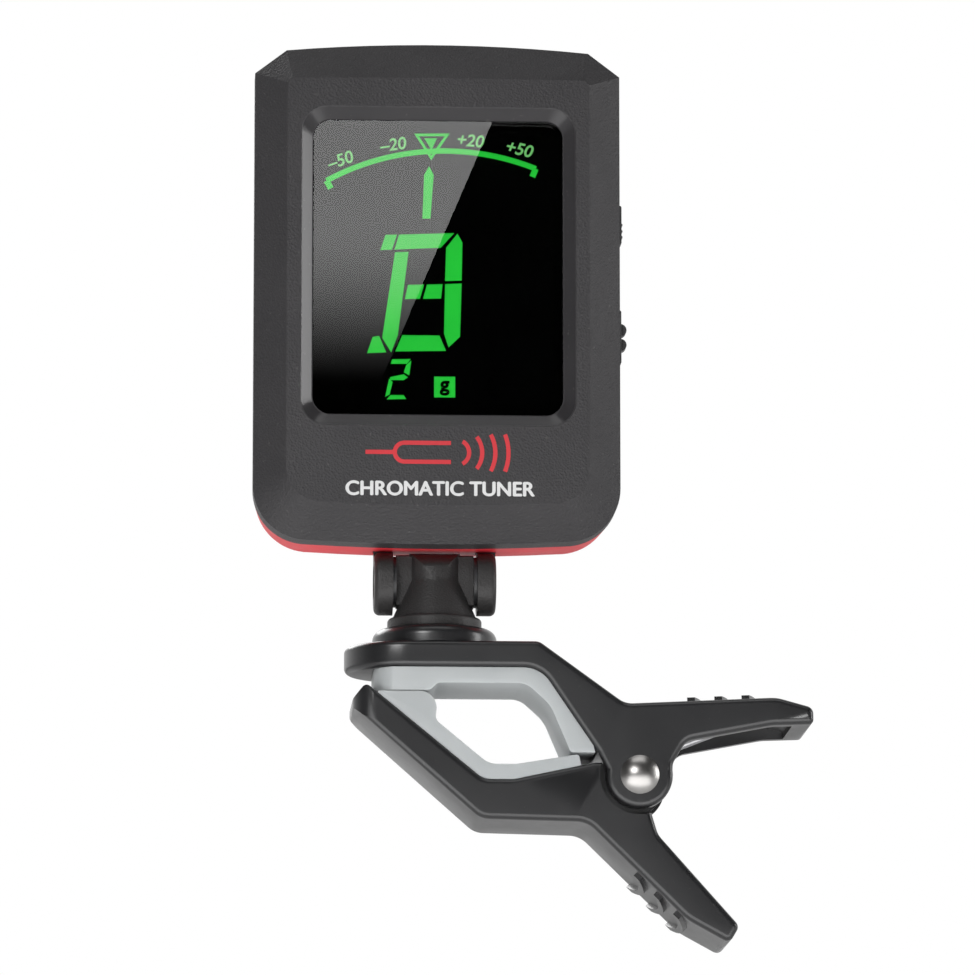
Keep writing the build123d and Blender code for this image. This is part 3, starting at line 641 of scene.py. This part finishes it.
def circleThrough(a, b, c):
    d = 2 * (a[0] * (b[1] - c[1]) + b[0] * (c[1] - a[1]) + c[0] * (a[1] - b[1]))
    squares = [p[0] ** 2 + p[1] ** 2 for p in (a, b, c)]
    x = (squares[0] * (b[1] - c[1]) + squares[1] * (c[1] - a[1]) + squares[2] * (a[1] - b[1])) / d
    z = (squares[0] * (c[0] - b[0]) + squares[1] * (a[0] - c[0]) + squares[2] * (b[0] - a[0])) / d
    return (x, z), hypot(a[0] - x, a[1] - z)


def pointerRing():  # triangle outline, its tip on the arc
    ring = flatShape(pointer["outline"])
    mesh = openEdit(ring)
    pickFaces(ring, mesh, lambda f: True)
    bpy.ops.mesh.inset(thickness=pointer["line"] * mm)
    mesh = bmesh.from_edit_mesh(ring.data)
    pickFaces(ring, mesh, lambda f: len(f.verts) == 3)
    bpy.ops.mesh.delete(type="FACE")
    bpy.ops.object.mode_set(mode="OBJECT")
    return ring


# the note letter and the small figure as sloping segments with narrow gaps
letterShapes = [
    [(-5.2, 3.45), (-4.05, 3.5), (-4.55, 1.95), (-5.7, 1.9)],
    [(-3.85, 3.5), (1.65, 3.7), (0.3, 2.2), (-4.3, 1.97)],
    [(1.98, 3.65), (2.48, 2.75), (2.4, -1.1), (0.75, -1.17), (0.85, 2.2)],
    [(-2.95, -1.6), (-1.35, -1.55), (-1.75, -3.0), (-3.25, -3.05)],
    [(-1.05, -1.55), (0.5, -1.5), (0.35, -2.95), (-1.45, -3.0)],
    [(0.75, -1.5), (2.4, -1.4), (2.25, -6.8), (1.1, -7.9), (0.65, -6.5)],
    [(-4.25, 1.7), (-2.9, 1.75), (-3.95, -6.7), (-4.6, -8.45), (-5.5, -7.0)],
    [(-3.5, -6.7), (0.2, -6.7), (0.85, -8.25), (-4.2, -8.35)],
    [(-6.45, -6.9), (-5.8, -6.8), (-5.1, -8.45), (-7.0, -8.55)],
]
needleShape = [(-1.52, 5.14), (-0.72, 5.14), (-0.4, 9.6), (-0.86, 10.5), (-1.36, 9.6)]
digitShapes = [
    [(-4.5, -9.15), (-2.65, -9.1), (-3.05, -9.6), (-4.65, -9.6)],
    [(-2.6, -9.25), (-2.8, -10.75), (-3.35, -10.45), (-3.1, -9.7)],
    [(-4.7, -10.95), (-3.35, -10.65), (-2.95, -10.95), (-3.35, -11.25), (-4.7, -11.25)],
    [(-4.8, -11.1), (-4.45, -11.45), (-4.75, -12.7), (-5.2, -12.95)],
    [(-4.65, -12.75), (-3.35, -12.75), (-3.1, -13.15), (-5.05, -13.2)],
]


def displayMarks():
    s = scaleArc
    centre, radius = circleThrough(s["left"], s["top"], s["right"])
    start, finish = [degrees(atan2(p[1] - centre[1], p[0] - centre[0])) for p in (s["right"], s["left"])]
    marks = [arcBand(onWindow(*centre), radius, s["wide"], start, finish, s["steps"], s["sliver"])]
    for angle in (start, finish):  # end ticks point to the arc's centre
        away = Vector((cos(radians(angle)), 0, sin(radians(angle))))
        marks.append(flatBar(onWindow(*centre) + away * (radius - s["tickIn"]) * mm, *s["tick"], angle))
    marks += [flatShape(corners) for corners in letterShapes + digitShapes]
    marks += [pointerRing(), flatShape(pointer["inner"]), flatShape(needleShape)]
    marks.append(flatBar(onWindow(*badge["middle"]), badge["side"], badge["side"]))
    green = litMark("litGreen", (0.002, 0.42, 0.02), 0.9)
    printFlat(marks, "displayMarks", markSettings["thick"], green)
    place = onWindow(*badge["letter"])
    place.y = displayFront - badge["lift"]
    letter = flatText("g", place, badge["high"], bold=badge["bold"])
    printFlat([letter], "badgeLetter", markSettings["thick"], materials["display_glass"])


numberSettings = {"high": 1.22, "lean": 0.15, "bold": 0.03, "places": [
    ("\u201350", -9.75, 10.95, 20), ("\u201320", -4.5, 12.6, 9),
    ("+20", 3.2, 13.1, -5), ("+50", 8.1, 12.3, -13)]}


def displayNumbers():
    s = numberSettings
    items = []
    for words, x, z, angle in s["places"]:
        items.append(flatText(words, onWindow(x, z), s["high"], angle, s["lean"], s["bold"]))
    pale = litMark("litPale", (0.13, 0.42, 0.12), 0.9)
    printFlat(items, "displayNumbers", markSettings["thick"], pale)


displayMarks()
displayNumbers()
print("display lit")

# ---- printed marks on the face: a tuning fork with sound waves, and plain words

printSettings = {"lift": 0.012 * mm, "thick": 0.01 * mm, "x": -6.45 * mm}
forkSettings = {"z": 27.1 * mm, "line": 0.42, "stem": (-6.0, 2.7), "tines": (-1.2, 4.6), "bend": (-3.5, 0.95),
                "waves": 1.6, "step": 1.3, "reach": (60, 38, 28, 21), "steps": 20, "sliver": 0.01}
wordSettings = {"z": 23.4 * mm, "words": "CHROMATIC TUNER", "high": 1.4, "lifts": (1, 2.5, 4, 5.5),
                "shifts": ((-0.07, 0), (0.07, 0), (0, 0.05), (0, -0.05))}


def printedFork():
    s = forkSettings
    base = Vector((printSettings["x"], faceY - printSettings["lift"], s["z"]))
    bend, radius = s["bend"]
    middleX, long = s["tines"]
    items = [flatBar(base + Vector((s["stem"][0], 0, 0)) * mm, s["stem"][1], s["line"])]
    items += [flatBar(base + Vector((middleX, 0, side * radius)) * mm, long, s["line"]) for side in (1, -1)]
    arcs = [(bend, radius, 90, 270)]
    arcs += [(s["waves"], s["step"] * (i + 1), -reach, reach) for i, reach in enumerate(s["reach"])]
    for x, arcRadius, start, finish in arcs:
        centre = base + Vector((x, 0, 0)) * mm
        items.append(arcBand(centre, arcRadius, s["line"], start, finish, s["steps"], s["sliver"]))
    ink = plastic("redInk", (0.5, 0.02, 0.03), (0.6, 0.03, 0.04), 0.4, 0.55, 7000)
    printFlat(items, "printedFork", printSettings["thick"], ink)


def printedWords():  # printed bold: the same words four times, a little apart
    s = wordSettings
    copies = []
    for (x, z), lift in zip(s["shifts"], s["lifts"]):
        place = Vector((printSettings["x"] + x * mm, faceY - lift * printSettings["lift"], s["z"] + z * mm))
        copies.append(flatText(s["words"], place, s["high"]))
    ink = plastic("whiteInk", (0.6, 0.6, 0.6), (0.72, 0.72, 0.72), 0.4, 0.55, 7000)
    printFlat(copies, "printedWords", printSettings["thick"], ink)


printedFork()
printedWords()
print("face printed")

# ---- torsion spring: a coiled wire with two straight legs, which takes the place of the rigid one

springSettings = {"coil": 1.95, "wire": 0.4, "gap": 0.06, "turns": 5, "upper": (22.0, 0.86),
                  "lower": (17.8, -15.8), "steps": 260, "sides": 12}


def legAngle(pivot, target, side):  # angle about the pin at which a straight leg leaves the coil
    away = (target[0] - pivot[0], target[1] - pivot[1])
    return atan2(away[1], away[0]) + side * acos(springSettings["coil"] / hypot(*away))


def windSpring():
    s = springSettings
    jaw = next(j for j in frame["record"]["behaviour"]["joints"] if j["name"] == "jaw_open")
    pivot = (jaw["pos_m"][0] / mm, jaw["pos_m"][2] / mm)
    begin, finish = legAngle(pivot, s["upper"], 1), legAngle(pivot, s["lower"], -1) + 2 * pi * s["turns"]
    long = (finish - begin) / (2 * pi) * (2 * s["wire"] + s["gap"])
    ends = []
    for angle, y in ((begin, long / 2), (finish, -long / 2)):
        ends.append(Vector((pivot[0] + s["coil"] * cos(angle), y, pivot[1] + s["coil"] * sin(angle))) * mm)
    bpy.ops.mesh.primitive_circle_add(vertices=s["sides"], radius=s["wire"] * mm, location=ends[0],
                                      rotation=(0, -begin, 0))
    spring = bpy.context.object
    spring.name = "torsionCoil"
    bpy.context.scene.cursor.location = Vector((pivot[0], long / 2, pivot[1])) * mm
    settle(spring)
    bpy.ops.object.origin_set(type="ORIGIN_CURSOR")
    applyModifier(spring, "SCREW", axis="Y", angle=begin - finish, screw_offset=-long * mm, steps=s["steps"],
                  render_steps=s["steps"], use_normal_calculate=False)
    settle(spring)
    near = 1.2 * s["wire"] * mm
    for place, target, y in ((ends[0], s["upper"], long / 2), (ends[1], s["lower"], -long / 2)):
        reach = Vector((target[0], y, target[1])) * mm - place
        mesh = openEdit(spring)
        pickEdges(spring, mesh,
                  lambda e: e.is_boundary and all((v.co - place).length < near for v in e.verts))
        bpy.ops.mesh.extrude_region_move(TRANSFORM_OT_translate={"value": reach})
        bpy.ops.mesh.edge_face_add()
        bpy.ops.object.mode_set(mode="OBJECT")
    facesOutward(spring)
    bpy.ops.object.shade_smooth_by_angle(angle=radians(50))
    spring.data.materials.append(materials["spring_steel"])
    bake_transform(spring)
    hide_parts("torsion_spring")
    print("spring wound", len(spring.data.vertices))


windSpring()

# ---- small marks that the battery side shows

backMarks = {"thick": 0.1 * mm, "round": 0.02 * mm, "arrow": (-6.6, 38.0), "plus": (-6.6, 47.5)}


def raisedBars(name, bars, y, material, body):  # bars are x, z, long, wide, angle
    items = [flatBar(Vector((x * mm, y, z * mm)), long, wide, angle) for x, z, long, wide, angle in bars]
    piece = joinPieces(items, name)
    applyModifier(piece, "SOLIDIFY", thickness=backMarks["thick"], offset=0)
    applyModifier(piece, "BEVEL", width=backMarks["round"], segments=2)
    facesOutward(piece)
    finishPiece(piece, material, body)


def markBack():
    x, z = backMarks["arrow"]
    arrow = [(x, z, 3.6, 0.35, 90), (x - 0.75, z + 1.25, 1.9, 0.35, 45), (x + 0.75, z + 1.25, 1.9, 0.35, -45)]
    doorY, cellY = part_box("battery_door")[1].y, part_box("battery")[1].y
    raisedBars("doorArrow", arrow, doorY, materials["red_shell"], "cell_door")
    x, z = backMarks["plus"]
    plus = [(x, z, 2.6, 0.4, 0), (x, z, 2.6, 0.4, 90)]
    raisedBars("cellPlus", plus, cellY, materials["cell_steel"], "head")


markBack()
print("back marked")

# ---- floor and reflected cards


cardSettings = {"y": -1.0, "top": 72.0, "bottom": 12.0, "cut": (-1.3, 60.6, -9.5, 41.0), "left": -34.0,
                "fade": (34.0, 50.0), "glow": 4.0}
lowCardSettings = {"y": -1.0, "x": (-20.0, 14.0), "z": (-24.0, 11.0), "glow": 1.1}


def throughWindow(x, z, y):  # where a ray from the camera by way of the window meets a card at y
    eye = bpy.context.scene.camera.location
    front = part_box("window_lens")[0].y
    mirrored = Vector((eye.x, 2 * front - eye.y, eye.z))
    point = Vector((x * mm, front, z * mm))
    return mirrored + (point - mirrored) * ((y - mirrored.y) / (front - mirrored.y))


def glowMaterial(name, low, high, strength):  # fades from nothing at the low height to full at the high one
    material = bpy.data.materials.new(name)
    material.use_nodes = True
    nodes, links = material.node_tree.nodes, material.node_tree.links
    nodes.clear()
    place = nodes.new("ShaderNodeTexCoord")
    split = nodes.new("ShaderNodeSeparateXYZ")
    fade = nodes.new("ShaderNodeMapRange")
    fade.interpolation_type = "SMOOTHSTEP"
    fade.inputs["From Min"].default_value = low
    fade.inputs["From Max"].default_value = high
    fade.inputs["To Max"].default_value = strength
    glow = nodes.new("ShaderNodeEmission")
    out = nodes.new("ShaderNodeOutputMaterial")
    links.new(place.outputs["Object"], split.inputs[0])
    links.new(split.outputs["Z"], fade.inputs["Value"])
    links.new(fade.outputs[0], glow.inputs["Strength"])
    links.new(glow.outputs[0], out.inputs["Surface"])
    return material


def makeCard(name, corners, y, material):  # a sheet behind the camera that only reflections show
    bpy.ops.mesh.primitive_plane_add(size=1, location=(0, 0, 0))
    card = bpy.context.object
    card.name = name
    for vertex, (x, z) in zip((card.data.vertices[i] for i in (0, 1, 3, 2)), corners):
        vertex.co = throughWindow(x, z, y)
    card.data.materials.append(material)
    card.visible_camera = card.visible_diffuse = card.visible_shadow = card.visible_transmission = False


def makeCards():
    c = cardSettings
    slope = (c["cut"][2] - c["cut"][0]) / (c["cut"][3] - c["cut"][1])
    edge = [c["cut"][0] + slope * (z - c["cut"][1]) for z in (c["bottom"], c["top"])]
    corners = [(c["left"], c["bottom"]), (edge[0], c["bottom"]), (edge[1], c["top"]), (c["left"], c["top"])]
    low, high = [throughWindow(0, z, c["y"]).z for z in c["fade"]]
    makeCard("windowCard", corners, c["y"], glowMaterial("windowGlow", low, high, c["glow"]))
    c = lowCardSettings
    (left, right), (bottom, top) = c["x"], c["z"]
    floorLevel = throughWindow(0, bottom - 60, c["y"]).z
    makeCard("clipCard", [(left, bottom), (right, bottom), (right, top), (left, top)], c["y"],
             glowMaterial("clipGlow", floorLevel, floorLevel + 0.01, c["glow"]))


def makeFloor():
    bpy.ops.mesh.primitive_plane_add(size=4, location=(0, 0, -0.13))
    floor = bpy.context.object
    floor.name = "paleFloor"
    material, shader, links = startMaterial("palePaper")
    tones = {"Dark": (0.8, 0.8, 0.8, 1), "Light": (0.84, 0.84, 0.84, 1), "Scale": 8.0, "Dust": 0.0}
    tone = useGroup(material, twoTone, tones)
    links.new(tone.outputs["Color"], shader.inputs["Base Color"])
    shader.inputs["Roughness"].default_value = 0.8
    floor.data.materials.append(material)


makeCards()
makeFloor()
print("floor made")
